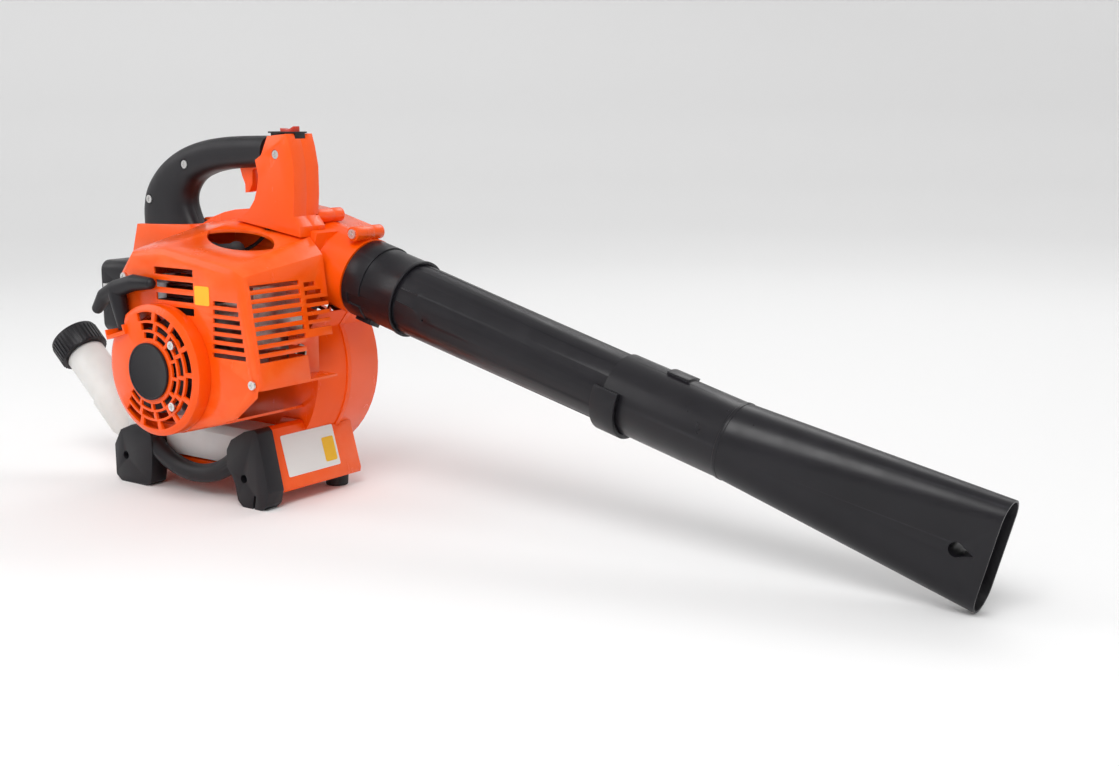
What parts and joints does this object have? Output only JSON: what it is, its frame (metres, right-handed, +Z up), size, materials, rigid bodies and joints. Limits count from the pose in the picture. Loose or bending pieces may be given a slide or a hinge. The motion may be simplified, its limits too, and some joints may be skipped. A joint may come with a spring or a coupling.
{
  "type": "leaf blower",
  "caption": "Hand-held petrol leaf blower: scroll fan housing, engine with recoil starter, arched rear grip, low stand, fuel tank and a long two-part tube with a flattened nozzle.",
  "frame": {"origin": "on the ground under the middle of the whole box, nozzle included", "axes": "+X along the blowing direction, +Z up, -Y towards the recoil starter"},
  "size_m": [1.0976, 0.2423, 0.3864],
  "materials": {
    "orange_plastic": "glossy orange moulded plastic",
    "black_plastic": "satin black moulded plastic",
    "tube_plastic": "smooth satin black blow-moulded plastic",
    "soft_grip": "fine-grained soft black grip",
    "rubber": "black rubber",
    "bulb_rubber": "translucent red bulb",
    "screw_steel": "bright zinc-plated steel",
    "cast_aluminium": "cast aluminium, slightly grainy",
    "muffler_steel": "pressed steel, heat-dulled",
    "fan_plastic": "glass-filled black nylon",
    "coil_black": "black potting resin",
    "plug_ceramic": "white glazed ceramic",
    "milky_plastic": "milky translucent polyethylene",
    "fuel_line": "clear yellow hose",
    "filter_foam": "open-cell foam",
    "rope_fibre": "braided nylon rope",
    "cable_black": "black cable sheath",
    "switch_red": "red moulded plastic"
  },
  "bodies": {
    "root": {"volute_engine_half": "orange_plastic", "volute_intake_half": "orange_plastic", "volute_screws": "screw_steel", "guard_pin": "screw_steel", "crank_pin": "screw_steel", "conrod": "screw_steel", "piston": "cast_aluminium", "wrist_pin": "screw_steel", "crankcase_fan_half": "cast_aluminium", "crankcase_starter_half": "cast_aluminium", "main_bearings": "screw_steel", "cylinder_block": "cast_aluminium", "spark_plug": "plug_ceramic", "plug_boot": "rubber", "ignition_coil": "coil_black", "muffler": "muffler_steel", "intake_manifold": "black_plastic", "carburettor": "cast_aluminium", "filter_base": "black_plastic", "filter_element": "filter_foam", "filter_cover": "black_plastic", "engine_cover": "orange_plastic", "starter_housing": "orange_plastic", "starter_badge": "black_plastic", "case_screws": "screw_steel", "recoil_spring": "screw_steel", "fuel_tank": "milky_plastic", "fuel_hose": "fuel_line", "fuel_filter": "plug_ceramic", "base_stand": "orange_plastic", "base_handle": "black_plastic", "rubber_feet": "rubber", "handle_left": "orange_plastic", "handle_right": "orange_plastic", "grip_seat": "orange_plastic", "grip_left": "soft_grip", "grip_right": "soft_grip", "handle_screws": "screw_steel", "trigger_pin": "screw_steel", "throttle_cable": "cable_black", "switch_base": "black_plastic", "tube_collar": "tube_plastic"},
    "crank": {"crank_fan_half": "screw_steel", "crank_starter_half": "screw_steel", "fan": "fan_plastic", "fan_nut": "screw_steel", "flywheel": "cast_aluminium"},
    "reel": {"starter_reel": "fan_plastic"},
    "starter_pull": {"pull_handle": "black_plastic", "starter_rope": "rope_fibre"},
    "trigger": {"throttle_trigger": "orange_plastic"},
    "rocker": {"switch_rocker": "switch_red"},
    "cap": {"fuel_cap": "black_plastic", "cap_seal": "rubber"},
    "primer": {"primer_bulb": "bulb_rubber"},
    "choke": {"choke_lever": "screw_steel"},
    "guard": {"intake_guard": "orange_plastic"},
    "tube": {"upper_tube": "tube_plastic"},
    "nozzle": {"nozzle": "tube_plastic", "tube_clip": "black_plastic"}
  },
  "joints": [
    {"name": "crank_spin", "type": "hinge", "parent": "root", "child": "crank", "pos_m": [-0.27528, 0.06035, 0.144], "axis": [0, 1, 0], "continuous": true},
    {"name": "starter_pull_slide", "type": "slide", "parent": "root", "child": "starter_pull", "axis": [-0.2756, 0, 0.9613], "range_m": [0, 0.6], "stiffness_N_per_m": 30, "springref_m": -0.35},
    {"name": "reel_turn", "type": "hinge", "parent": "root", "child": "reel", "pos_m": [-0.27528, -0.10565, 0.144], "axis": [0, 1, 0], "range_deg": [-1, 916.3]},
    {"name": "trigger_squeeze", "type": "hinge", "parent": "root", "child": "trigger", "pos_m": [-0.24128, 0.01735, 0.352], "axis": [0, 1, 0], "range_deg": [0, 18], "stiffness_Nm_per_rad": 0.6, "springref_deg": -20.05},
    {"name": "stop_switch", "type": "hinge", "parent": "root", "child": "rocker", "pos_m": [-0.20328, 0.01735, 0.379], "axis": [0, 1, 0], "range_deg": [0, 14]},
    {"name": "cap_turn", "type": "hinge", "parent": "root", "child": "cap", "pos_m": [-0.43528, -0.01765, 0.058], "axis": [-0.7431, 0, 0.6691], "range_deg": [0, 540]},
    {"name": "primer_press", "type": "slide", "parent": "root", "child": "primer", "axis": [0, 0, 1], "range_m": [0, 0.003], "stiffness_N_per_m": 300, "springref_m": -0.004},
    {"name": "choke_turn", "type": "hinge", "parent": "root", "child": "choke", "pos_m": [-0.35928, -0.06365, 0.216], "axis": [0, 1, 0], "range_deg": [0, 40]},
    {"name": "guard_swing", "type": "hinge", "parent": "root", "child": "guard", "pos_m": [-0.35728, 0.11765, 0.144], "axis": [0, 0, 1], "range_deg": [0, 100]},
    {"name": "tube_twist", "type": "hinge", "parent": "root", "child": "tube", "pos_m": [-0.13823, 0.06035, 0.23048], "axis": [0.9659, 0, -0.2588], "range_deg": [0, 30]},
    {"name": "nozzle_twist", "type": "hinge", "parent": "tube", "child": "nozzle", "pos_m": [0.1757, 0.06035, 0.14636], "axis": [0.9659, 0, -0.2588], "range_deg": [0, 10]}
  ],
  "couplings": [
    {"joint": "reel_turn", "follows": "starter_pull_slide", "rad_per_m": 26.596}
  ]
}
